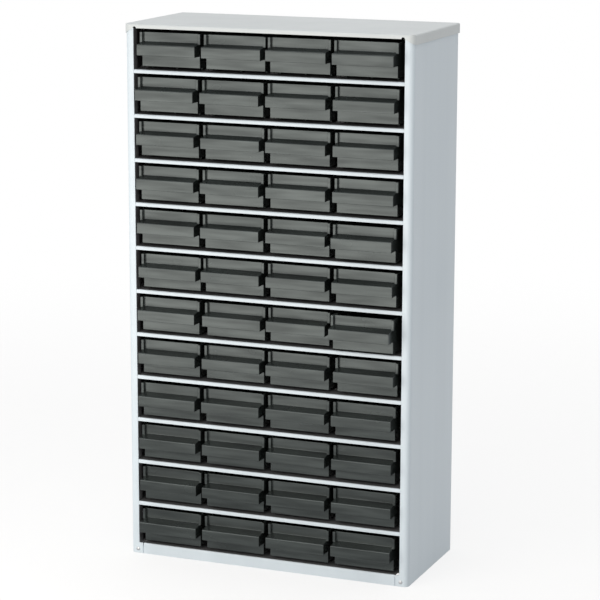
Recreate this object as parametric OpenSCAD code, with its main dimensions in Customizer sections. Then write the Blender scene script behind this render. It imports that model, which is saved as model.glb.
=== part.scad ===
// Parts bin cabinet: a folded steel case with shelves that carry rows of
// small moulded drawers. Millimetres. +Z is up, +X is to the right and the
// drawers pull out towards -Y. The origin is the middle of the underside.

/* [Layout] */
// Number of drawer rows
rows = 12; // [1:1:12]
// Number of drawers in a row
columns = 4; // [1:1:4]
// Clear height of a bay, from a shelf up to the lip of the next one
bay_h = 41.2; // [38.5:0.1:60]
// Free width between two drawer rims
drawer_gap = 4.3; // [3:0.1:10]
// Free width between an outer drawer and the front frame
side_gap = 5.15; // [3:0.05:12]

/* [Case] */
// Width of the front flange of a side panel
frame_w = 9; // [8:0.1:20]
// Height of the base under the bottom shelf
base_h = 11.4; // [8:0.1:40]
// Height of the front strip of the top cover
strip_h = 4.4; // [4:0.1:12]
// Height of the front lip of a shelf
lip_h = 3.8; // [3:0.1:6]
// Thickness of the folded steel sheet
sheet_t = 0.8; // [0.6:0.1:1.2]
// Thickness of the back panel
back_t = 0.8; // [0.6:0.1:1.2]
// Outer radius of the front bends of the side panels
front_r = 5; // [2:0.1:7]
// Outer radius of the tighter bends
bend_r = 1.6; // [1.3:0.1:2.5]
// Depth of the return behind the front flange
return_d = 9; // [4:0.5:14]
// Width of the rear flange of a side panel
rear_flange_w = 12; // [10:0.5:14]
// Height of the side flanges of the top cover
cover_skirt_h = 10; // [8:0.5:30]
// Air between the side panels and the flanges of the top cover
cover_gap = 0.2; // [0.2:0.1:1]
// Radius of the relief notch at each end of the cover's front strip
notch_r = 1.8; // [1:0.1:2.2]
// Extra width of the side panel's front flange beside the base
foot_tab_w = 4.2; // [2:0.1:8]
// Width of the seam between the base and each foot
foot_gap = 0.8; // [0.2:0.1:1.5]
// Height of the end flanges of a shelf
shelf_end_h = 8; // [5:0.5:12]
// Length of the base's tongue that lies behind each front flange
tongue_w = 12; // [8:0.5:20]
// Clearance where two sheets meet edge to edge
sheet_gap = 0.2; // [0.1:0.1:0.6]

/* [Drawer tray] */
// Width of a drawer over its rim
drawer_w = 66.2; // [50:0.1:90]
// Length of a drawer from its lower front to its back
drawer_len = 132; // [90:0.5:200]
// Clearance between a drawer's rim and the lip above it
rim_gap = 3.5; // [2:0.1:5]
// How far the rim stands out from the walls
rim_out = 1.5; // [1:0.1:2.5]
// Height of the rim
rim_h = 2; // [1.5:0.1:4]
// Thickness of the tray walls
wall = 1.6; // [1.2:0.1:2.2]
// Thickness of the tray floor
floor_t = 1.5; // [1.2:0.1:2.5]
// Height of the tray's underside above the shelf
floor_z = 3.4; // [2:0.1:5]
// How far each side wall leans in at the floor
draft = 0; // [0:0.1:1]
// Width of a runner under the tray
runner_w = 2; // [1.5:0.1:4]
// Distance of the outer runners from the tray's edge
runner_in = 4.5; // [4:0.1:8]
// Distance from the lower front to the start of the runners
runner_front = 14; // [4:0.5:30]
// Running gap between a runner and the shelf
run_gap = 0.3; // [0.2:0.05:0.6]
// Length of the raised ears at the rear of a drawer
ear_len = 14; // [8:0.5:25]
// How far the ears reach above the lower edge of the lip
ear_catch = 1; // [0.6:0.1:1.6]

/* [Drawer front] */
// How far a shut drawer's lower front sits behind the frame
front_set = 3; // [0.5:0.1:4]
// Gap between a shut drawer and the back panel
rear_gap = 0.6; // [0.4:0.1:3]
// Height of the pull's top front edge above the shelf
pull_z = 26.2; // [22:0.1:30]
// How far the ledge behind that edge rises towards the label panel
ledge_rise = 1.8; // [0:0.1:3]
// Height of the pull's front face
pull_h = 11; // [8:0.1:14]
// How far the pull stands out from the lower front
pull_out = 13; // [9:0.1:16]
// Thickness of the pull
pull_t = 2; // [1.5:0.1:3]
// Thickness of the walls that close the ends of the pull
pull_end_t = 1.6; // [1.2:0.1:3]
// How far the cheeks stand out from the lower front
cheek_out = 2.6; // [1:0.1:5]
// Width of a cheek beside the label panel
cheek_w = 2.9; // [2:0.1:5]
// How far the label panel sits behind the lower front
panel_in = 0.4; // [0:0.1:6]

/* [Guides] */
// Width of a guide between two drawers
guide_w = 3; // [2.4:0.1:5]
// Height of a guide
guide_h = 9; // [5:0.5:14]
// Width of each foot of a guide
guide_foot = 2.6; // [2:0.1:3.5]
// Distance from the frame to the front end of a guide
guide_front = 20; // [12:1:40]
// Distance from the back panel to the rear end of a guide
guide_rear = 12; // [4:1:40]

/* [Rivets and wall holes] */
// Radius of a rivet's shank
rivet_r = 1.2; // [1:0.1:1.6]
// Radius of a rivet's head
rivet_head_r = 1.9; // [1.9:0.1:3]
// Height of a rivet's head
rivet_head_h = 0.7; // [0.4:0.1:1]
// Height and overhang of a rivet's closed tail
rivet_tail = 0.6; // [0.4:0.1:1]
// Clearance of a rivet in its hole
rivet_gap = 0.05; // [0.02:0.01:0.1]
// Rivets up each side of the back panel
rivets_up = 4; // [2:1:8]
// Distance from the ends of the back panel to its first rivets
rivet_end = 40; // [15:1:80]
// Radius of a wall hole
wall_hole_r = 2.6; // [2:0.1:3]
// Height of a wall hole above its shelf
wall_hole_up = 20; // [14:0.5:26]
// Rows between a wall hole and the end of the cabinet
wall_hole_rows = 1; // [0:1:4]
// Distance of the front rivets from the drawer opening
rivet_in = 1.3; // [1.2:0.1:4]
// Height of the front rivets as a share of the height of the base
rivet_low = 0.4; // [0.3:0.05:0.6]

/* [Drawers left open] */
// Largest distance by which a shut drawer still stands out
slack = 2.4; // [0:0.1:3]
// Clearance kept beside a drawer that was pushed aside
aside_gap = 0.3; // [0.2:0.1:1]

/* [Hidden] */
$fn = 48;
// How far a cutter reaches past its piece, and joined parts into each other.
over = 1;
// Row, column and distance of each drawer that was left standing open.
LEFT_OPEN = [[7, 4, 10], [5, 4, 5], [1, 4, 4]];
// Row and column of each drawer that was pushed to the right of its bay.
PUSHED_RIGHT = [[1, 1], [1, 2], [6, 1], [7, 2], [8, 4]];

pitch_x = drawer_w + drawer_gap;
pitch_z = bay_h + lip_h;
opening_w = columns * drawer_w + (columns - 1) * drawer_gap + 2 * side_gap;
case_w = opening_w + 2 * frame_w;
case_d = front_set + drawer_len + rear_gap + back_t;
case_h = base_h + rows * bay_h + (rows - 1) * lip_h + strip_h;
front_y = -case_d / 2;
back_y = case_d / 2;
ceiling_z = case_h - sheet_t;
inner_x = case_w / 2 - sheet_t;
flange_y = back_y - back_t;
shelf_back_y = flange_y - bend_r - sheet_gap;
cover_out = cover_gap + sheet_t;
shelf_front_y = front_y + return_d + sheet_gap;

tray_w = drawer_w - 2 * rim_out;
rim_z = bay_h - rim_gap;
ear_top = bay_h + ear_catch;
ledge_slope = ledge_rise / (pull_out + panel_in - pull_t / 2);
rivet_x = case_w / 2 - rear_flange_w / 2;
front_rivet_x = opening_w / 2 + rivet_in;
dome_r = (pow(rivet_head_r, 2) + pow(rivet_head_h, 2) / 4) / rivet_head_h;
// Wall holes lie between the outer columns, one pair low and one pair high.
WALL_HOLES = [for (level = [wall_hole_rows, rows - 1 - wall_hole_rows]) for (side = [-1, 1])
    [side * (columns / 2 - 1) * pitch_x, floor_of(level) + wall_hole_up]];

function floor_of(level) = base_h + level * pitch_z;
function column_x(col) = (col - (columns + 1) / 2) * pitch_x;
function is_open(row, col) = [for (o = LEFT_OPEN) if (o[0] == row && o[1] == col) o[2]];
// How far each drawer stands out: as it was left, or within the slack.
function shut_slip(row, col) = round(rands(0, slack, 1, 10 * row + col)[0] * 10) / 10;
function stands_out(row, col) =
    len(is_open(row, col)) > 0 ? is_open(row, col)[0] : shut_slip(row, col);
// How far a drawer can move aside between its guides and its neighbours.
side_play = min((drawer_gap + 2 * rim_out - guide_w) / 2, drawer_gap / 2, side_gap) - aside_gap;
function moved_right(row, col) = len([for (p = PUSHED_RIGHT) if (p == [row, col]) p]) * side_play;

DRAWERS = [for (row = [1:rows]) for (col = [1:columns]) [row, col]];
function drawer_name(place) = str("drawer_r", place[0], "_c", place[1]);

case_white = [0.88, 0.90, 0.91];
cover_grey = [0.80, 0.81, 0.81];
drawer_grey = [0.30, 0.31, 0.31];
rivet_grey = [0.62, 0.63, 0.64];

// Extrudes an outline drawn in X and Z along Y, from y0 to y1.
module along_y(y0, y1)
    translate([0, y1, 0]) rotate([90, 0, 0]) linear_extrude(y1 - y0) children();

// Extrudes an outline drawn in Y and Z along X, from x0 to x1.
module along_x(x0, x1)
    translate([x0, 0, 0]) rotate([90, 0, 90]) linear_extrude(x1 - x0) children();

// A box between two corners.
module box(low, high) translate(low) cube(high - low);

// A rectangle between two corners of an outline.
module sheet(low, high) translate(low) square(high - low);

// A quarter of a bent sheet round a centre: dx and dy are the side it lies on.
module bend(centre, r, dx, dy) intersection() {
    translate(centre) difference() {
        circle(r);
        circle(r - sheet_t);
    }
    sheet([min(centre[0], centre[0] + dx * r), min(centre[1], centre[1] + dy * r)],
        [max(centre[0], centre[0] + dx * r), max(centre[1], centre[1] + dy * r)]);
}

// A corner of an outline rounded off: the cut that leaves a radius r.
module corner_cut(corner, r, dx, dy) difference() {
    sheet([min(corner[0], corner[0] - dx * r), min(corner[1], corner[1] - dy * r)],
        [max(corner[0], corner[0] - dx * r), max(corner[1], corner[1] - dy * r)]);
    translate([corner[0] - dx * r, corner[1] - dy * r]) circle(r);
}

function rivet_z(i) = rivet_end + i * (case_h - 2 * rivet_end) / max(1, rivets_up - 1);

// Drills the rivet holes of one side through the back flange and the front tab.
module rivet_holes() {
    for (i = [0:rivets_up - 1]) translate([rivet_x, back_y + over, rivet_z(i)])
        rotate([90, 0, 0]) cylinder(r = rivet_r + rivet_gap, h = back_t + sheet_t + 2 * over);
    translate([front_rivet_x, front_y + 2 * sheet_t + over, rivet_low * base_h])
        rotate([90, 0, 0]) cylinder(r = rivet_r + rivet_gap, h = 2 * (sheet_t + over));
}

// Cross-section of the right side panel: wall, front flange and rear flange.
module side_section() {
    right = case_w / 2;
    frame_x = opening_w / 2;
    rear_y = flange_y;
    sheet([right - sheet_t, front_y + front_r], [right, rear_y - bend_r]);
    bend([right - front_r, front_y + front_r], front_r, 1, -1);
    sheet([frame_x, front_y], [right - front_r, front_y + sheet_t]);
    sheet([frame_x, front_y], [frame_x + sheet_t, front_y + return_d]);
    bend([right - bend_r, rear_y - bend_r], bend_r, 1, 1);
    sheet([right - rear_flange_w, rear_y - sheet_t], [right - bend_r, rear_y]);
}

// A side panel. Beside the base its front flange is wider and has no return.
module side_panel() difference() {
    union() {
        linear_extrude(ceiling_z) side_section();
        box([opening_w / 2 - foot_tab_w, front_y, 0],
            [opening_w / 2 + sheet_t, front_y + sheet_t, base_h]);
    }
    rivet_holes();
    box([opening_w / 2 - over, front_y + sheet_t, -over],
        [opening_w / 2 + sheet_t + over, shelf_front_y + over, base_h + sheet_gap]);
}

module left_side() color(case_white) mirror([1, 0, 0]) side_panel();
module right_side() color(case_white) side_panel();

// The block that the top cover is hollowed from, rounded along its top edges.
module cover_block() {
    half_w = case_w / 2 + cover_out;
    low = case_h - cover_skirt_h;
    plan_r = front_r + cover_out;
    intersection() {
        linear_extrude(case_h) difference() {
            sheet([-half_w, front_y - cover_out], [half_w, back_y]);
            for (side = [-1, 1])
                corner_cut([side * half_w, front_y - cover_out], plan_r, side, -1);
        }
        along_y(front_y - cover_out, back_y) difference() {
            sheet([-half_w, low], [half_w, case_h]);
            for (side = [-1, 1]) corner_cut([side * half_w, case_h], bend_r, side, 1);
        }
        along_x(-half_w, half_w) difference() {
            sheet([front_y - cover_out, low], [back_y, case_h]);
            corner_cut([front_y - cover_out, case_h], bend_r, -1, 1);
        }
    }
}

// The top cover: a cap over the side panels with a narrow strip at the front.
module top_cover() color(cover_grey) {
    inner_w = case_w / 2 + cover_gap;
    outer_w = case_w / 2 + cover_out;
    inner_r = front_r + cover_gap;
    strip_z = case_h - strip_h;
    low = case_h - cover_skirt_h;
    difference() {
        cover_block();
        translate([0, 0, low - over]) linear_extrude(ceiling_z - low + over) difference() {
            sheet([-inner_w, front_y - cover_gap], [inner_w, back_y + over]);
            for (side = [-1, 1])
                corner_cut([side * inner_w, front_y - cover_gap], inner_r, side, -1);
        }
        along_y(front_y - cover_out - over, front_y + inner_r) polygon([
            [-opening_w / 2, strip_z], [opening_w / 2, strip_z],
            [outer_w + over, low - over / 2], [outer_w + over, low - 2 * over],
            [-outer_w - over, low - 2 * over], [-outer_w - over, low - over / 2]]);
        along_y(front_y - cover_out - over, front_y) for (side = [-1, 1])
            translate([side * (opening_w / 2 - notch_r), strip_z]) circle(notch_r);
    }
}

// The base: a raised floor on skirts, with tongues behind the front flanges.
module base_pan() color(case_white) {
    skirt_x = opening_w / 2 - foot_tab_w - foot_gap;
    top = base_h;
    difference() {
        union() {
            along_x(-skirt_x, skirt_x) {
                sheet([front_y, 0], [front_y + sheet_t, top - bend_r]);
                bend([front_y + bend_r, top - bend_r], bend_r, -1, 1);
                sheet([front_y + bend_r, top - sheet_t], [shelf_front_y + over, top]);
            }
            along_y(shelf_front_y, shelf_back_y) {
                sheet([-inner_x, top - sheet_t], [inner_x, top]);
                for (side = [-1, 1])
                    sheet([min(side * inner_x, side * (inner_x - sheet_t)), 0],
                        [max(side * inner_x, side * (inner_x - sheet_t)), top]);
            }
            box([-inner_x, shelf_back_y - sheet_t, 0], [inner_x, shelf_back_y, top]);
            for (side = [0, 1]) mirror([side, 0, 0]) linear_extrude(top - 2 * bend_r) {
                sheet([skirt_x - tongue_w, front_y + sheet_t / 2],
                    [skirt_x, front_y + 1.5 * sheet_t]);
                sheet([skirt_x - tongue_w, front_y + sheet_t],
                    [case_w / 2 - front_r, front_y + 2 * sheet_t]);
            }
        }
        for (side = [0, 1]) mirror([side, 0, 0]) rivet_holes();
    }
}

// The flat back panel, with rivet holes and four holes for wall screws.
module back_panel() color(case_white) difference() {
    box([-case_w / 2 + bend_r, flange_y, 0], [case_w / 2 - bend_r, back_y, ceiling_z]);
    for (side = [0, 1]) mirror([side, 0, 0]) rivet_holes();
    for (hole = WALL_HOLES) translate([hole[0], back_y + over, hole[1]])
        rotate([90, 0, 0]) cylinder(r = wall_hole_r, h = back_t + 2 * over);
}

// One shelf: a lip at the front, and end flanges against the side panels.
module shelf() {
    lip_x = opening_w / 2 - sheet_gap;
    along_x(-lip_x, lip_x) {
        sheet([front_y, -lip_h], [front_y + sheet_t, -bend_r]);
        bend([front_y + bend_r, -bend_r], bend_r, -1, 1);
        sheet([front_y + bend_r, -sheet_t], [shelf_front_y + over, 0]);
    }
    along_y(shelf_front_y, shelf_back_y) {
        sheet([-inner_x, -sheet_t], [inner_x, 0]);
        for (side = [0, 1]) mirror([side, 0, 0])
            sheet([inner_x - sheet_t, -shelf_end_h], [inner_x, 0]);
    }
}

module shelves() color(case_white)
    for (level = [1:1:rows - 1]) translate([0, 0, floor_of(level)]) shelf();

// One guide: a hat-shaped strip that keeps two drawers apart on their floor.
module guide() along_y(front_y + guide_front, flange_y - guide_rear) {
    for (side = [0, 1]) mirror([side, 0, 0]) {
        sheet([guide_w / 2 - sheet_t, 0], [guide_w / 2 + guide_foot, sheet_t]);
        sheet([guide_w / 2 - sheet_t, 0], [guide_w / 2, guide_h]);
    }
    sheet([-guide_w / 2, guide_h - sheet_t], [guide_w / 2, guide_h]);
}

module drawer_guides() color(case_white)
    for (level = [0:rows - 1]) for (line = [0:columns])
        translate([(line - columns / 2) * pitch_x, 0, floor_of(level)]) guide();

// One rivet on the Z axis: its head stands on the face z = 0, shank downwards.
module rivet(grip) rotate_extrude() {
    difference() {
        sheet([0, -grip - rivet_tail], [rivet_r, 0]);
        sheet([0, -grip - 2 * rivet_tail], [rivet_r / 2, -rivet_tail / 2]);
    }
    sheet([0, 0], [rivet_head_r, rivet_head_h / 2]);
    intersection() {
        sheet([0, 0], [rivet_head_r, rivet_head_h]);
        translate([0, rivet_head_h - dome_r]) circle(dome_r);
    }
    sheet([rivet_r / 2, -grip - rivet_tail], [rivet_r + rivet_tail, -grip]);
}

// The rivets of the back panel and of the base, as separate pieces.
module rivets() color(rivet_grey) for (side = [0, 1]) mirror([side, 0, 0]) {
    for (i = [0:rivets_up - 1]) translate([rivet_x, back_y, rivet_z(i)])
        rotate([-90, 0, 0]) rivet(back_t + sheet_t);
    translate([front_rivet_x, front_y, rivet_low * base_h]) rotate([90, 0, 0])
        rivet(2 * sheet_t);
}

// Half of the tray's outer width at a height above the shelf.
function tray_half(z) = tray_w / 2 - draft * (rim_z - z) / (rim_z - floor_z);

// The tray's outline between two heights, with its sides moved in by inset.
module tray_outline(z0, z1, inset) polygon([
    [inset - tray_half(z0), z0], [tray_half(z0) - inset, z0],
    [tray_half(z1) - inset, z1], [inset - tray_half(z1), z1]]);

// The outline of the pull, seen from the side: a ledge and a lip to hook behind.
module pull_outline() difference() {
    union() {
        polygon([[-pull_out, pull_z - pull_t], [-pull_out, pull_z],
            [pull_t / 2 - pull_out, pull_z], [panel_in, pull_z + ledge_rise],
            [panel_in + wall / 2, pull_z + ledge_rise],
            [panel_in + wall / 2, pull_z + ledge_rise - pull_t],
            [panel_in, pull_z + ledge_rise - pull_t], [pull_t / 2 - pull_out, pull_z - pull_t]]);
        sheet([-pull_out, pull_z - pull_h], [pull_t - pull_out, pull_z - pull_t / 2]);
    }
    corner_cut([-pull_out, pull_z], pull_t / 2, -1, 1);
}

// What an end wall of the pull adds to that outline, down to the lip's edge.
module pull_end_outline() polygon([
    [pull_t / 2 - pull_out, pull_z - pull_h], [wall / 2, pull_z - pull_h],
    [wall / 2, pull_z + ledge_rise - pull_t / 2 - (panel_in - wall / 2) * ledge_slope],
    [pull_t / 2 - pull_out, pull_z - pull_t / 2]]);

// A drawer with its lower front on the plane y = 0 and its shelf at z = 0.
module drawer_shape() {
    rear_y = drawer_len;
    ledge_z = pull_z + ledge_rise - pull_t / 2;
    difference() {
        union() {
            along_y(0, rear_y) tray_outline(floor_z, rim_z, 0);
            along_y(rear_y - ear_len, rear_y) tray_outline(rim_z - rim_h, ear_top, 0);
            along_y(-cheek_out, rear_y)
                sheet([-drawer_w / 2, rim_z - rim_h], [drawer_w / 2, rim_z]);
            along_y(-cheek_out, panel_in + wall)
                sheet([-drawer_w / 2, ledge_z], [drawer_w / 2, rim_z]);
        }
        // the room inside, under and behind the ledge
        along_y(wall, panel_in + wall + over)
            tray_outline(floor_z + floor_t, ledge_z, wall);
        along_y(panel_in + wall, rear_y - wall)
            tray_outline(floor_z + floor_t, ear_top + over, wall);
        // the recess of the label panel, between the cheeks
        along_y(-cheek_out - over, panel_in)
            sheet([cheek_w - drawer_w / 2, pull_z], [drawer_w / 2 - cheek_w, rim_z + over]);
    }
    along_x(-tray_w / 2, tray_w / 2) pull_outline();
    for (side = [0, 1]) mirror([side, 0, 0])
        along_x(tray_w / 2 - pull_end_t, tray_w / 2) pull_end_outline();
    for (x = [-tray_half(floor_z) + runner_in, 0, tray_half(floor_z) - runner_in])
        box([x - runner_w / 2, runner_front, run_gap],
            [x + runner_w / 2, rear_y - runner_w, floor_z + floor_t / 2]);
}

// The drawer of one bay, standing out as far as it was left.
module drawer(row, col) color(drawer_grey)
    translate([column_x(col) + moved_right(row, col),
        front_y + front_set - stands_out(row, col), floor_of(rows - row)]) drawer_shape();

left_side();
right_side();
top_cover();
base_pan();
back_panel();
shelves();
drawer_guides();
rivets();
for (place = DRAWERS)
    drawer(place[0], place[1]);
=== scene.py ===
# %% [markdown]
# # A parts bin cabinet and its forty-eight drawers
#
# The cabinet is a case of thin folded steel with a stack of shelves, and on every shelf stand
# small moulded drawers with a full-width pull. The imported model already holds all of it at its
# real size. This lesson dresses that model: it gives the steel its powder coat, and it builds
# each drawer again with the soft edges and small grooves of an injection-moulded part.

# %% Load the imported cabinet
import math

import bmesh
import bpy
from mathutils import Matrix, Vector


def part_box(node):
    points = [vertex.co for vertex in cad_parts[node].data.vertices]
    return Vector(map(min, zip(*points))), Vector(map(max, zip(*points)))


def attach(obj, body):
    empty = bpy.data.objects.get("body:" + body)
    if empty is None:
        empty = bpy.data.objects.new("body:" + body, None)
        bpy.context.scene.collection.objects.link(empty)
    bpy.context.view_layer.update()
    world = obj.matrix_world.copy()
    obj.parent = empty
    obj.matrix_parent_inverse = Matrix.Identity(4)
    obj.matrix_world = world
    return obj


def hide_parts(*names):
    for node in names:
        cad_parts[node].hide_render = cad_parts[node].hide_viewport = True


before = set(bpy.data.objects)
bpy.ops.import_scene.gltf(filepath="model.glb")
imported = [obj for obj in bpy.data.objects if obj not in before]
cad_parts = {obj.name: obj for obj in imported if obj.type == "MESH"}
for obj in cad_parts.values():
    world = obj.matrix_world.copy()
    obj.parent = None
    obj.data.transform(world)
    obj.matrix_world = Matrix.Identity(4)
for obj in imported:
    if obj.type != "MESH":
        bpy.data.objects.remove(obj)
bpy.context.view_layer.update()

MM = 0.001

FRONT_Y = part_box("left_side")[0].y
CASE_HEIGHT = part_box("top_cover")[1].z
DRAWER_NAMES = sorted(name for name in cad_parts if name.startswith("drawer_r"))
print("the frame plane is at y =", round(FRONT_Y, 4))
print("the case is", round(CASE_HEIGHT, 4), "m tall")
print(len(DRAWER_NAMES), "drawers")

# %% [markdown]
# ## The camera
#
# A camera could be dragged into place by eye, or set with a look-at constraint. A constraint
# hides the angles that matter, so here they are written down: how far round the cabinet the
# camera stands, how high it looks from, and how long its lens is. Its place follows from them.

# %% Place the camera
AIM = Vector((0.0363, FRONT_Y, 0.2846))
AZIMUTH = math.radians(21.93)
ELEVATION = math.radians(11.90)
ROLL = math.radians(0.12)
DISTANCE = 2.3678
LENS_MM = 143.0
SENSOR_MM = 36.0
NEAREST_SEEN = 0.05

away = Vector((
    math.sin(AZIMUTH) * math.cos(ELEVATION),
    -math.cos(AZIMUTH) * math.cos(ELEVATION),
    math.sin(ELEVATION),
))
camera = bpy.data.objects.new("camera", bpy.data.cameras.new("camera"))
bpy.context.scene.collection.objects.link(camera)
camera.location = AIM + away * DISTANCE
turn = away.to_track_quat("Z", "Y") @ Matrix.Rotation(ROLL, 3, "Z").to_quaternion()
camera.rotation_euler = turn.to_euler()
camera.data.lens = LENS_MM
camera.data.sensor_width = SENSOR_MM
camera.data.clip_start = NEAREST_SEEN
bpy.context.scene.camera = camera
print("camera at", [round(c, 3) for c in camera.location])

# %% [markdown]
# ## Small helpers for finishes
#
# A finish is a network of shader nodes. Written out one by one, the nodes bury the idea, so
# short helpers make a material, add a node with its settings, and join two sockets.

# %% Helpers for materials


def new_finish(name, roughness, ior=1.5, metallic=0.0):
    """A material with its shader, and the constant values set on the shader's own sockets."""
    material = bpy.data.materials.new(name)
    material.use_nodes = True
    shader = material.node_tree.nodes["Principled BSDF"]
    shader.inputs["Roughness"].default_value = roughness
    shader.inputs["IOR"].default_value = ior
    shader.inputs["Metallic"].default_value = metallic
    return material, shader


def add_node(material, kind, **settings):
    """A node of that kind; settings are inputs where it has such a socket, or properties."""
    node = material.node_tree.nodes.new(kind)
    for key, value in settings.items():
        label = key.replace("_", " ")
        if label in node.inputs:
            node.inputs[label].default_value = value
        else:
            setattr(node, key, value)
    return node


def connect(material, output, target):
    """Joins an output socket to an input socket of the same material."""
    material.node_tree.links.new(output, target)


# %% [markdown]
# ## Patterns
#
# A pattern could come from an image, but then every piece would have to be unwrapped. Noise
# needs none of that. It is worked out in metres on the piece itself: the object's own
# coordinates don't slide when a drawer is pulled out. Stretched along one axis, the same noise
# turns into bands or streaks.

# %% Helpers for patterns
NOISE_LOW, NOISE_HIGH = 0.3, 0.7  # most of a noise pattern lies between these values


def stretched_place(material, scale):
    """The object's own coordinates, scaled apart along X, Y and Z to stretch a pattern."""
    place = add_node(material, "ShaderNodeTexCoord")
    mapping = add_node(material, "ShaderNodeMapping")
    mapping.inputs["Scale"].default_value = scale
    connect(material, place.outputs["Object"], mapping.inputs["Vector"])
    return mapping.outputs["Vector"]


def grain(material, scale, detail=2.0, stretch=(1.0, 1.0, 1.0)):
    """A noise pattern with that many features in a metre, along the stretched coordinates."""
    noise = add_node(material, "ShaderNodeTexNoise", Scale=scale, Detail=detail)
    connect(material, stretched_place(material, stretch), noise.inputs["Vector"])
    return noise.outputs["Fac"]


def spread(material, factor, low, high):
    """Spreads a pattern's middle range over the values from low to high."""
    ramp = add_node(material, "ShaderNodeMapRange")
    ramp.inputs["From Min"].default_value = NOISE_LOW
    ramp.inputs["From Max"].default_value = NOISE_HIGH
    ramp.inputs["To Min"].default_value = low
    ramp.inputs["To Max"].default_value = high
    connect(material, factor, ramp.inputs["Value"])
    return ramp.outputs["Result"]


def two_tone(material, factor, dark, light):
    """A colour between two tones, where each tone is three numbers or another pattern."""
    mix = add_node(material, "ShaderNodeMix", data_type="RGBA")
    ends = [socket for socket in mix.inputs if socket.type == "RGBA"]
    for end, tone in zip(ends, (dark, light)):
        if isinstance(tone, tuple):
            end.default_value = (*tone, 1.0)
        else:
            connect(material, tone, end)
    connect(material, factor, mix.inputs["Factor"])
    return next(socket for socket in mix.outputs if socket.type == "RGBA")


def bumped(material, shader, height, depth, strength=1.0):
    """Lets a pattern raise the surface by up to depth metres."""
    bump = add_node(material, "ShaderNodeBump", Strength=strength, Distance=depth)
    connect(material, height, bump.inputs["Height"])
    connect(material, bump.outputs["Normal"], shader.inputs["Normal"])


# %% [markdown]
# ## Powder coat
#
# The case is sheet steel with a baked powder coat. One flat colour would look like paper. Real
# powder flows out into a very fine orange peel, it is a little thicker here and thinner there,
# and the rolling of the sheet leaves faint upright bands. Fine noise drives a shallow bump for
# the peel, and noise stretched along the height drives the tone for the bands. Wide, soft
# clouds drive the gloss.
#
# Inside the bays the colour is painted a dark grey as shade: it stands for the deep shadow
# between the drawers. Where the inside begins is worked out from the object's coordinates, with
# a soft edge just behind the front.

# %% Helpers for sums and soft steps


def work_out(material, operation, *values):
    """One step of arithmetic on numbers and patterns."""
    step = add_node(material, "ShaderNodeMath", operation=operation)
    for socket, value in zip(step.inputs, values):
        if isinstance(value, (int, float)):
            socket.default_value = value
        else:
            connect(material, value, socket)
    return step.outputs[0]


def soft_step(material, value, start, end):
    """0 on the start's side and 1 on the end's side, with a soft step between them."""
    step = add_node(material, "ShaderNodeMapRange", interpolation_type="SMOOTHSTEP")
    step.inputs["From Min"].default_value = start
    step.inputs["From Max"].default_value = end
    connect(material, value, step.inputs["Value"])
    return step.outputs["Result"]


# %% Where the inside of the case begins
BACK_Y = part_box("back_panel")[1].y
HALF_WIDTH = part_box("right_side")[1].x
FLANGE_WIDTH = 9.0 * MM
OPENING_HALF = HALF_WIDTH - FLANGE_WIDTH
RETURN_X = OPENING_HALF + 1.2 * MM  # just past the sheet that folds back from the flange
WALL_X = HALF_WIDTH - 0.4 * MM  # halfway through the sheet of the side wall

# Each soft step goes from its place outside to its place inside.
BAY_SIDE = (RETURN_X + 0.2 * MM, RETURN_X)
BAY_FRONT = (FRONT_Y + 0.8 * MM, FRONT_Y + 1.5 * MM)
BAY_BACK = (BACK_Y - 0.3 * MM, BACK_Y - 0.5 * MM)
WALL_SIDE = (WALL_X + 0.1 * MM, WALL_X)
WALL_FRONT = (FRONT_Y + 6.0 * MM, FRONT_Y + 7.0 * MM)
WALL_BACK = (BACK_Y - 2.6 * MM, BACK_Y - 3.0 * MM)
COVER_UNDERSIDE = (CASE_HEIGHT - 0.3 * MM, CASE_HEIGHT - 0.5 * MM)


def painted_shade_share(material):
    """Where shade is painted: 1 on the surfaces inside the case and 0 outside, by position."""
    place = add_node(material, "ShaderNodeSeparateXYZ")
    connect(material, add_node(material, "ShaderNodeTexCoord").outputs["Object"], place.inputs[0])
    x = work_out(material, "ABSOLUTE", place.outputs["X"])
    y, z = place.outputs["Y"], place.outputs["Z"]
    bays = work_out(
        material, "MULTIPLY",
        soft_step(material, x, *BAY_SIDE),
        work_out(material, "MULTIPLY",
                 soft_step(material, y, *BAY_FRONT),
                 soft_step(material, y, *BAY_BACK)))
    walls = work_out(
        material, "MULTIPLY",
        soft_step(material, x, *WALL_SIDE),
        work_out(material, "MULTIPLY",
                 soft_step(material, y, *WALL_FRONT),
                 soft_step(material, y, *WALL_BACK)))
    under_cover = soft_step(material, z, *COVER_UNDERSIDE)
    return work_out(material, "MULTIPLY", under_cover, work_out(material, "MAXIMUM", bays, walls))


print("the bays are", round(2 * OPENING_HALF, 4), "m wide between the front flanges")

# %% Powder coat for the case and for the top cover
CASE_DARK = (0.576, 0.648, 0.704)
CASE_LIGHT = (0.624, 0.698, 0.754)
COVER_DARK = (0.530, 0.565, 0.575)
COVER_LIGHT = (0.570, 0.602, 0.612)
# painted shade: the dark grey that the surfaces inside the case get in place of their shadow
PAINTED_SHADE_GREY = (0.11, 0.11, 0.115)

BAND_GRAIN, CLOUD_GRAIN, PEEL_GRAIN = 38.0, 9.0, 900.0  # features in a metre
BAND_SHARE, CLOUD_SHARE = 0.7, 0.3  # how far each of them moves the tone
COAT_SMOOTHEST, COAT_ROUGHEST = 0.38, 0.47
# how much rougher the painted shade inside the case is
PAINTED_SHADE_ROUGHER = 0.2
PEEL_DEPTH, PEEL_STRENGTH = 0.00002, 0.35


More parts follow.
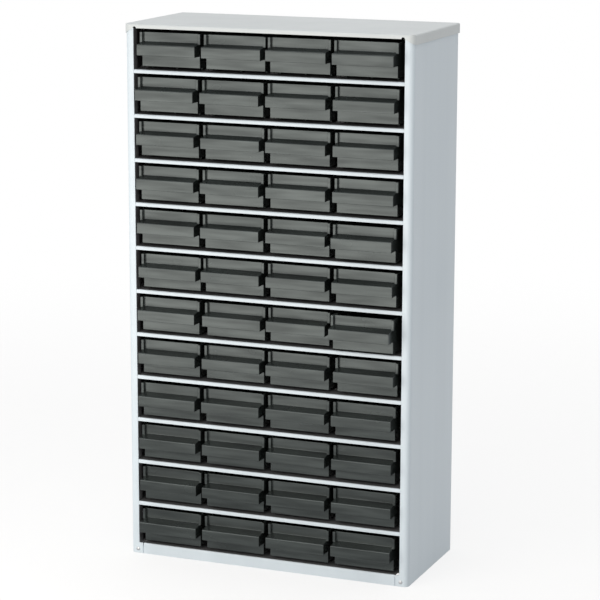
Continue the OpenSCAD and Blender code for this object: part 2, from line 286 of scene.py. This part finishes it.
def powder_coat(name, dark, light):
    """A satin powder coat between two tones, with orange peel and faint upright bands, and with
    shade painted in dark grey on the surfaces inside the case.
    """
    material, shader = new_finish(name, roughness=0.42)
    bands = grain(material, BAND_GRAIN, detail=3.0, stretch=(1.0, 1.0, 0.02))
    clouds = grain(material, CLOUD_GRAIN)
    bands = spread(material, bands, 0.0, BAND_SHARE)
    blotches = work_out(material, "MULTIPLY_ADD", clouds, CLOUD_SHARE, bands)
    coat = two_tone(material, blotches, dark, light)
    # the surfaces inside the case are mixed to the dark grey of the painted shade, and made a
    # little rougher
    inside = painted_shade_share(material)
    connect(material, two_tone(material, inside, coat, PAINTED_SHADE_GREY), shader.inputs["Base Color"])
    satin = spread(material, clouds, COAT_SMOOTHEST, COAT_ROUGHEST)
    roughness = work_out(material, "MULTIPLY_ADD", inside, PAINTED_SHADE_ROUGHER, satin)
    connect(material, roughness, shader.inputs["Roughness"])
    peel = grain(material, PEEL_GRAIN, detail=1.0)
    bumped(material, shader, peel, PEEL_DEPTH, PEEL_STRENGTH)
    return material


case_coat = powder_coat("case_powder_coat", CASE_DARK, CASE_LIGHT)
cover_coat = powder_coat("cover_powder_coat", COVER_DARK, COVER_LIGHT)
print("powder coats:", case_coat.name, cover_coat.name)

# %% [markdown]
# ## Moulded plastic
#
# The drawers are dark grey plastic with a polished mould finish. Their colour is nearly black:
# what the eye reads as grey is mostly the studio, reflected. So the colour stays dark and the
# reflection is shaped instead. Plastic that flows along a long front cools unevenly and leaves
# faint level streaks. Noise stretched along X drives the tone, the strength of the reflection
# and a shallow bump, and a wider noise drives the roughness.

# %% Dark moulded plastic
PLASTIC_DARK = (0.013, 0.0155, 0.0150)
PLASTIC_LIGHT = (0.022, 0.0265, 0.0250)
SHEEN_TINT = (0.88, 0.975, 0.985, 1.0)

STREAK_GRAIN, FLOW_GRAIN = 200.0, 45.0  # features in a metre
PLASTIC_SMOOTHEST, PLASTIC_ROUGHEST = 0.20, 0.28
SHEEN_LOW, SHEEN_HIGH = 0.40, 0.60
STREAK_DEPTH, STREAK_STRENGTH = 0.00006, 0.35


def moulded_plastic(name):
    """Glossy dark plastic with level flow streaks."""
    material, shader = new_finish(name, roughness=0.24)
    streaks = grain(material, STREAK_GRAIN, detail=1.6, stretch=(0.10, 0.10, 1.0))
    flow = grain(material, FLOW_GRAIN, stretch=(0.5, 0.5, 1.0))
    colour = two_tone(material, spread(material, streaks, 0.0, 1.0), PLASTIC_DARK, PLASTIC_LIGHT)
    connect(material, colour, shader.inputs["Base Color"])
    roughness = spread(material, flow, PLASTIC_SMOOTHEST, PLASTIC_ROUGHEST)
    connect(material, roughness, shader.inputs["Roughness"])
    sheen = spread(material, streaks, SHEEN_LOW, SHEEN_HIGH)
    connect(material, sheen, shader.inputs["Specular IOR Level"])
    shader.inputs["Specular Tint"].default_value = SHEEN_TINT
    bumped(material, shader, streaks, STREAK_DEPTH, STREAK_STRENGTH)
    return material


drawer_plastic = moulded_plastic("drawer_plastic")
print("plastic:", drawer_plastic.name)

# %% [markdown]
# ## Rivets
#
# The rivets are dull aluminium with a slightly dimpled head. Metal takes its look from roughness
# far more than from colour, so the noise goes there.

# %% Dull aluminium for the rivets
ALUMINIUM = (0.42, 0.43, 0.44, 1.0)
DIMPLE_GRAIN = 1400.0  # features in a metre
RIVET_SMOOTHEST, RIVET_ROUGHEST = 0.3, 0.5
DIMPLE_DEPTH = 0.00003

rivet_metal, rivet_shader = new_finish("rivet_aluminium", roughness=0.4, metallic=1.0)
rivet_shader.inputs["Base Color"].default_value = ALUMINIUM
dimples = grain(rivet_metal, DIMPLE_GRAIN)
rivet_roughness = spread(rivet_metal, dimples, RIVET_SMOOTHEST, RIVET_ROUGHEST)
connect(rivet_metal, rivet_roughness, rivet_shader.inputs["Roughness"])
bumped(rivet_metal, rivet_shader, dimples, DIMPLE_DEPTH)
print("metal:", rivet_metal.name)

# %% [markdown]
# ## Dressing the steel
#
# The folded sheets have the right shape already: their bends are true arcs. They stay as they
# are and only change their coat.

# %% Give every steel piece its coat
FINISH_OF_NODE = {
    "left_side": case_coat,
    "right_side": case_coat,
    "base_pan": case_coat,
    "back_panel": case_coat,
    "shelves": case_coat,
    "drawer_guides": case_coat,
    "top_cover": cover_coat,
    "rivets": rivet_metal,
}
for node_name, finish in FINISH_OF_NODE.items():
    for material_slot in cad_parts[node_name].material_slots:
        material_slot.material = finish
print("coated", len(FINISH_OF_NODE), "steel and metal nodes")

# %% [markdown]
# ## The drawer's sizes
#
# All forty-eight drawers come out of one mould, so one drawer is modelled and then copied. Its
# sizes are in millimetres, as on a drawing: x = 0 is the drawer's middle, y = 0 is the outer
# face of its lower front, and z = 0 is the shelf that it stands on.

# %% Sizes of the drawer, in millimetres
LENGTH = 132.0
TRAY_HALF, WALL = 31.6, 1.6
FLOOR_Z, FLOOR_T = 3.4, 1.5
RIM_Z, RIM_H, RIM_HALF = 37.7, 2.0, 33.1
EAR_LEN, EAR_TOP = 14.0, 42.2
CHEEK_OUT, CHEEK_W, PANEL_IN = 2.6, 2.9, 0.4
PULL_Z, PULL_H, PULL_OUT, PULL_T, PULL_END_T = 26.2, 11.0, 13.0, 2.0, 1.6
LEDGE_RISE = 1.8
LEDGE_TOP = PULL_Z + LEDGE_RISE
RUN_GAP, RUNNER_W, RUNNER_IN, RUNNER_FRONT = 0.3, 2.0, 4.5, 14.0
OVER = 1.0  # how far a cutter reaches past what it cuts
print("the drawer is", LENGTH + PULL_OUT, "mm long and", 2 * RIM_HALF, "mm wide over its rim")

# %% [markdown]
# ## Blocks to add and to cut
#
# A tray could be folded up from a flat sheet with extrusions and insets, but each later step
# would then depend on the face numbers of the one before. A mould maker works from blocks, and
# so does this: every block is an outline pushed straight along X or Y, and blocks are joined to
# the drawer or cut out of it with exact booleans. Each block can be read, and changed, alone.

# %% Helpers for blocks


def prism(outline, axis, start, end):
    """An object whose outline, in X and Z or in Y and Z, is pushed along the other axis."""
    shape = bmesh.new()
    rings = []
    for place in (start, end):
        if axis == "Y":
            rings.append([shape.verts.new((a, place, b)) for a, b in outline])
        else:
            rings.append([shape.verts.new((place, a, b)) for a, b in outline])
    for ring in rings:
        shape.faces.new(ring)
    for i in range(len(outline)):
        j = (i + 1) % len(outline)
        shape.faces.new((rings[0][i], rings[0][j], rings[1][j], rings[1][i]))
    bmesh.ops.recalc_face_normals(shape, faces=shape.faces)
    mesh = bpy.data.meshes.new("block")
    shape.to_mesh(mesh)
    shape.free()
    block = bpy.data.objects.new("block", mesh)
    bpy.context.scene.collection.objects.link(block)
    return block


def box_outline(low, high):
    """A rectangle between two corners."""
    return [(low[0], low[1]), (high[0], low[1]), (high[0], high[1]), (low[0], high[1])]


def tray_outline(low, high, inset=0.0):
    """The tray's outline between two heights, with its sides moved in by the inset."""
    return box_outline((inset - TRAY_HALF, low), (TRAY_HALF - inset, high))


def settle(piece):
    """Turns what a piece's modifiers make of it into its own mesh."""
    depsgraph = bpy.context.evaluated_depsgraph_get()
    piece.data = bpy.data.meshes.new_from_object(piece.evaluated_get(depsgraph))
    piece.modifiers.clear()


def combine(piece, block, operation):
    """Joins a block to the piece (UNION) or cuts it out (DIFFERENCE), and uses the block up."""
    modifier = piece.modifiers.new("combine", "BOOLEAN")
    modifier.solver = "EXACT"
    modifier.operation = operation
    modifier.object = block
    settle(piece)
    bpy.data.objects.remove(block)


# %% [markdown]
# ## The tray
#
# A tray with thin walls, a flat rim all round, raised ears at the back that catch on the
# shelf above, and at the front a block that will become the label holder.

# %% Mould the tray
PANEL_BACK = PANEL_IN + WALL
CHEEK_LOW = LEDGE_TOP - PULL_T / 2
ROOM_BOTTOM = FLOOR_Z + FLOOR_T

drawer = prism(tray_outline(FLOOR_Z, RIM_Z), "Y", 0.0, LENGTH)
rim_outline = box_outline((-RIM_HALF, RIM_Z - RIM_H), (RIM_HALF, RIM_Z))
rim = prism(rim_outline, "Y", -CHEEK_OUT, LENGTH)
cheek_outline = box_outline((-RIM_HALF, CHEEK_LOW), (RIM_HALF, RIM_Z))
cheeks = prism(cheek_outline, "Y", -CHEEK_OUT, PANEL_BACK)
ears = prism(tray_outline(RIM_Z - RIM_H, EAR_TOP), "Y", LENGTH - EAR_LEN, LENGTH)
for block in (rim, cheeks, ears):
    combine(drawer, block, "UNION")

front_room = prism(tray_outline(ROOM_BOTTOM, CHEEK_LOW, WALL), "Y", WALL, PANEL_BACK + OVER)
combine(drawer, front_room, "DIFFERENCE")
room = prism(tray_outline(ROOM_BOTTOM, EAR_TOP + OVER, WALL), "Y", PANEL_BACK, LENGTH - WALL)
combine(drawer, room, "DIFFERENCE")
print("hollow tray with", len(drawer.data.polygons), "faces")

# %% [markdown]
# ## The label panel
#
# Between two cheeks the front steps back, and a card stands against the panel there.

# %% Cut the label panel
PANEL_HALF = RIM_HALF - CHEEK_W
recess_outline = box_outline((-PANEL_HALF, PULL_Z), (PANEL_HALF, RIM_Z + OVER))
recess = prism(recess_outline, "Y", -CHEEK_OUT - OVER, PANEL_IN)
combine(drawer, recess, "DIFFERENCE")
print("the panel is", 2 * PANEL_HALF, "mm wide between its cheeks")

# %% [markdown]
# ## The pull
#
# A ledge slopes down from the panel, runs across the whole drawer and turns down into a lip, so
# that fingers hook in behind it from below. The lip's upper edge is rounded far more than any
# other edge, so the outline gets a real arc there and the bevel that comes later is left to the
# small edges. A thin wall closes the pull at each end, which keeps the lip from bending.

# %% Add the pull
NOSE_R = PULL_T / 2
NOSE_STEPS = 6
SLOPE = (LEDGE_TOP - PULL_Z) / (PULL_OUT + PANEL_IN - NOSE_R)

nose = []
for step in range(NOSE_STEPS + 1):
    angle = math.pi / 2 * (1 + step / NOSE_STEPS)
    nose.append((
        NOSE_R - PULL_OUT + NOSE_R * math.cos(angle),
        PULL_Z - NOSE_R + NOSE_R * math.sin(angle),
    ))
pull = nose + [
    (-PULL_OUT, PULL_Z - PULL_H),
    (PULL_T - PULL_OUT, PULL_Z - PULL_H),
    (PULL_T - PULL_OUT, PULL_Z - PULL_T + SLOPE * NOSE_R),
    (PANEL_IN, LEDGE_TOP - PULL_T),
    (PANEL_IN + WALL / 2, LEDGE_TOP - PULL_T),
    (PANEL_IN + WALL / 2, LEDGE_TOP),
    (PANEL_IN, LEDGE_TOP),
]
combine(drawer, prism(pull, "X", -TRAY_HALF, TRAY_HALF), "UNION")

end_wall = [
    (NOSE_R - PULL_OUT, PULL_Z - PULL_H),
    (WALL / 2, PULL_Z - PULL_H),
    (WALL / 2, LEDGE_TOP - PULL_T / 2),
    (NOSE_R - PULL_OUT, PULL_Z - PULL_T / 2),
]
combine(drawer, prism(end_wall, "X", -TRAY_HALF, PULL_END_T - TRAY_HALF), "UNION")
combine(drawer, prism(end_wall, "X", TRAY_HALF - PULL_END_T, TRAY_HALF), "UNION")
print("the ledge falls by", LEDGE_RISE, "mm towards the lip")

# %% [markdown]
# ## Runners and divider ribs
#
# Three runners carry the drawer on its shelf. Inside, pairs of upright ribs hold a divider
# plate at three places. They are small, but an open drawer without them looks like a plain box.

# %% Add the runners and the ribs
for x in (RUNNER_IN - TRAY_HALF, 0.0, TRAY_HALF - RUNNER_IN):
    outline = box_outline((x - RUNNER_W / 2, RUN_GAP), (x + RUNNER_W / 2, FLOOR_Z + FLOOR_T / 2))
    combine(drawer, prism(outline, "Y", RUNNER_FRONT, LENGTH - RUNNER_W), "UNION")

RIB_W, RIB_OUT, RIB_GAP, RIB_TOP = 1.2, 0.9, 1.8, 32.0
DIVIDERS = (0.28, 0.5, 0.72)  # where dividers stand, as shares of the drawer's length
INNER_HALF = TRAY_HALF - WALL
for divider in DIVIDERS:
    for shift in (-RIB_GAP / 2 - RIB_W, RIB_GAP / 2):
        y = divider * LENGTH + shift
        for side in (-1, 1):
            ends = sorted((side * (INNER_HALF - RIB_OUT), side * (INNER_HALF + WALL / 2)))
            rib = box_outline((ends[0], ROOM_BOTTOM - FLOOR_T / 2), (ends[1], RIB_TOP))
            combine(drawer, prism(rib, "Y", y, y + RIB_W), "UNION")
print("drawer with its ribs:", len(drawer.data.polygons), "faces")

# %% [markdown]
# ## Soft edges
#
# No moulded edge is sharp, and a small rounded edge catches a line of light that tells the eye
# how large the part is. The booleans leave some flat faces in several pieces, so these are
# merged first; then one bevel rounds every edge, and weighted normals keep the flats flat. The
# bevel's overlap clamp stays off, because its smallest gap would shrink every other edge too.

# %% Round the drawer's edges
SAME_POINT = 0.0005
FLAT_ANGLE = math.radians(0.3)
EDGE_R = 0.35
EDGE_SEGMENTS = 2
EDGE_ANGLE = math.radians(40)

cleaned = bmesh.new()
cleaned.from_mesh(drawer.data)
bmesh.ops.remove_doubles(cleaned, verts=cleaned.verts, dist=SAME_POINT)
bmesh.ops.dissolve_limit(
    cleaned, angle_limit=FLAT_ANGLE, verts=cleaned.verts, edges=cleaned.edges)
cleaned.to_mesh(drawer.data)
cleaned.free()

bevel = drawer.modifiers.new("edges", "BEVEL")
bevel.width = EDGE_R
bevel.segments = EDGE_SEGMENTS
bevel.limit_method = "ANGLE"
bevel.angle_limit = EDGE_ANGLE
bevel.use_clamp_overlap = False
settle(drawer)
drawer.data.shade_smooth()
drawer.modifiers.new("normals", "WEIGHTED_NORMAL").keep_sharp = True
settle(drawer)
drawer.data.materials.clear()
drawer.data.materials.append(drawer_plastic)
print("finished drawer:", len(drawer.data.polygons), "faces")

# %% [markdown]
# ## Forty-eight drawers
#
# Copies could share one mesh and stand at forty-eight places. Then the streaks in the plastic
# would be the same on each, because the pattern follows the mesh. So each drawer gets its own
# copy of the mesh, moved to its bay: the pattern runs on through all of them, no two fronts are
# alike, and the streaks still travel with a drawer that is pulled out. Each copy rides on the
# body of its own drawer and stands for that drawer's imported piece.

# %% Put a drawer in every bay
for node_name in DRAWER_NAMES:
    low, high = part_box(node_name)
    bay = Vector(((low.x + high.x) / 2, low.y + PULL_OUT * MM, low.z - RUN_GAP * MM))
    mesh = drawer.data.copy()
    mesh.name = "moulded_" + node_name
    mesh.transform(Matrix.Translation(bay) @ Matrix.Diagonal((MM, MM, MM, 1.0)))
    piece = bpy.data.objects.new("moulded_" + node_name, mesh)
    bpy.context.scene.collection.objects.link(piece)
    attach(piece, node_name)
    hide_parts(node_name)
bpy.data.objects.remove(drawer)
print("placed", len(DRAWER_NAMES), "drawers")

# %% [markdown]
# ## Floor
#
# The cabinet stands on a plain pale floor. A sheet of finite size would end in a visible edge,
# so the floor fades out with distance into the white around it, and only the part that carries
# the soft shadow is really there. To the light that bounces back up from it the floor is
# darker, so that the lower half of the cabinet isn't lit more than its upper half.

# %% Paint the floor
FLOOR_TONE = (0.90, 0.90, 0.90)
BOUNCE_TONE = (0.52, 0.52, 0.52)
PAINT_GRAIN = 30.0  # features in a metre
PAINT_MOTTLE = 0.02
SEEN_SHARE = 0.25
FADE_START, FADE_END = 0.4, 1.6

floor_coat, floor_shader = new_finish("floor", roughness=0.7, ior=1.3)
paint = grain(floor_coat, PAINT_GRAIN)
light_tone = tuple(min(1.0, tone + PAINT_MOTTLE) for tone in FLOOR_TONE)
shown = two_tone(floor_coat, paint, FLOOR_TONE, light_tone)
bounced = add_node(floor_coat, "ShaderNodeLightPath").outputs["Is Diffuse Ray"]
floor_colour = two_tone(floor_coat, bounced, shown, BOUNCE_TONE)
connect(floor_coat, floor_colour, floor_shader.inputs["Base Color"])
distance = add_node(floor_coat, "ShaderNodeVectorMath", operation="LENGTH")
floor_place = add_node(floor_coat, "ShaderNodeTexCoord").outputs["Object"]
connect(floor_coat, floor_place, distance.inputs[0])
fade = add_node(floor_coat, "ShaderNodeMapRange", interpolation_type="SMOOTHSTEP")
fade.inputs["From Min"].default_value = FADE_START
fade.inputs["From Max"].default_value = FADE_END
fade.inputs["To Min"].default_value = 1.0
fade.inputs["To Max"].default_value = 0.0
connect(floor_coat, distance.outputs["Value"], fade.inputs["Value"])
share = work_out(floor_coat, "MULTIPLY_ADD", bounced, 1.0 - SEEN_SHARE, SEEN_SHARE)
solid = work_out(floor_coat, "MULTIPLY", fade.outputs["Result"], share)
opacity = work_out(floor_coat, "MAXIMUM", solid, bounced)
connect(floor_coat, opacity, floor_shader.inputs["Alpha"])
print("the floor fades out between", FADE_START, "and", FADE_END, "m")

# %% Lay the floor
FLOOR_SIZE = 8.0
FLOOR_DROP = 0.0002  # how far it lies under the cabinet's lower edges

half = FLOOR_SIZE / 2
corners = [(-half, -half, 0), (half, -half, 0), (half, half, 0), (-half, half, 0)]
floor_mesh = bpy.data.meshes.new("floor")
floor_mesh.from_pydata(corners, [], [(0, 1, 2, 3)])
floor_mesh.materials.append(floor_coat)
floor = bpy.data.objects.new("floor", floor_mesh)
floor.location.z = -FLOOR_DROP
bpy.context.scene.collection.objects.link(floor)
print("the floor is", FLOOR_SIZE, "m wide")

# %% [markdown]
# ## Light
#
# Pale steel and dark gloss want opposite things: the steel needs soft light from all round, and
# the plastic needs something bright to reflect. The room gives an even base and a soft sun from
# above gives the floor its shadow. A front seen from the right and a little from above mirrors
# what stands to its left, low down. So one box of light stands there, with its foot on the
# floor: the upper drawers mirror the box, and the lowest ones mirror only the floor. A second
# box, higher up and to the right, lights the front of the steel and is mirrored past the camera.
# Both boxes are a little warm and the room is neutral, so that the coat looks almost white on
# the front and keeps its blue on the side.

# %% Light the room
AMBIENT = 0.58

world = bpy.data.worlds.new("room")
world.use_nodes = True
bpy.context.scene.world = world
room_nodes = world.node_tree
rays = room_nodes.nodes.new("ShaderNodeLightPath")
seen = rays.outputs["Is Camera Ray"]
for output in ("Is Glossy Ray", "Is Transmission Ray"):
    either = room_nodes.nodes.new("ShaderNodeMath")
    either.operation = "MAXIMUM"
    room_nodes.links.new(seen, either.inputs[0])
    room_nodes.links.new(rays.outputs[output], either.inputs[1])
    seen = either.outputs[0]
level = room_nodes.nodes.new("ShaderNodeMapRange")
level.inputs["To Min"].default_value = AMBIENT
level.inputs["To Max"].default_value = 1.0
room_nodes.links.new(seen, level.inputs["Value"])
background = room_nodes.nodes["Background"]
background.inputs["Color"].default_value = (1.0, 1.0, 1.0, 1.0)
room_nodes.links.new(level.outputs["Result"], background.inputs["Strength"])
print("the room lights the cabinet at", AMBIENT, "and is seen as white")

# %% Helpers for lamps
BOX_TONE = (1.0, 0.95, 0.88)


def aim(lamp, place, target):
    """Stands a lamp at a place and turns it towards a target."""
    lamp.location = place
    lamp.rotation_euler = (Vector(target) - Vector(place)).to_track_quat("-Z", "Y").to_euler()


def light_box(name, place, target, width, height, brightness):
    """A rectangular lamp, as bright as that many white papers, that the camera doesn't see."""
    data = bpy.data.lights.new(name, "AREA")
    data.shape = "RECTANGLE"
    data.size, data.size_y = width, height
    data.energy = brightness * math.pi * width * height
    data.color = BOX_TONE
    lamp = bpy.data.objects.new(name, data)
    bpy.context.scene.collection.objects.link(lamp)
    aim(lamp, place, target)
    lamp.visible_camera = False


# %% Stand the lamps round the cabinet
SUN_STRENGTH = 0.8
SUN_WIDTH = math.radians(60)
SUN_PLACE = (-0.2, -0.1, 2.0)
sun_data = bpy.data.lights.new("soft_sun", "SUN")
sun_data.energy = SUN_STRENGTH
sun_data.angle = SUN_WIDTH
sun = bpy.data.objects.new("soft_sun", sun_data)
bpy.context.scene.collection.objects.link(sun)
aim(sun, SUN_PLACE, (0.0, 0.0, 0.0))

BOX_WIDTH, BOX_HEIGHT, BOX_BRIGHTNESS = 0.60, 0.58, 3.32
BOX_PLACE = (-0.28, FRONT_Y - 0.66, BOX_HEIGHT / 2 + 0.02)
BOX_TARGET = (0.0, FRONT_Y, BOX_PLACE[2])
light_box("front_box", BOX_PLACE, BOX_TARGET, BOX_WIDTH, BOX_HEIGHT, BOX_BRIGHTNESS)

FILL_WIDTH, FILL_HEIGHT, FILL_BRIGHTNESS = 0.6, 0.5, 2.3
FILL_PLACE = (0.32, FRONT_Y - 0.85, 0.80)
FILL_TARGET = (0.12, FRONT_Y, 0.3)
light_box("fill_box", FILL_PLACE, FILL_TARGET, FILL_WIDTH, FILL_HEIGHT, FILL_BRIGHTNESS)
print("lights:", [item.name for item in bpy.data.lights])

# %% [markdown]
# ## Last steps
#
# The Standard view shows each colour about as it is written.

# %% Set the view transform
bpy.context.scene.view_settings.view_transform = "Standard"
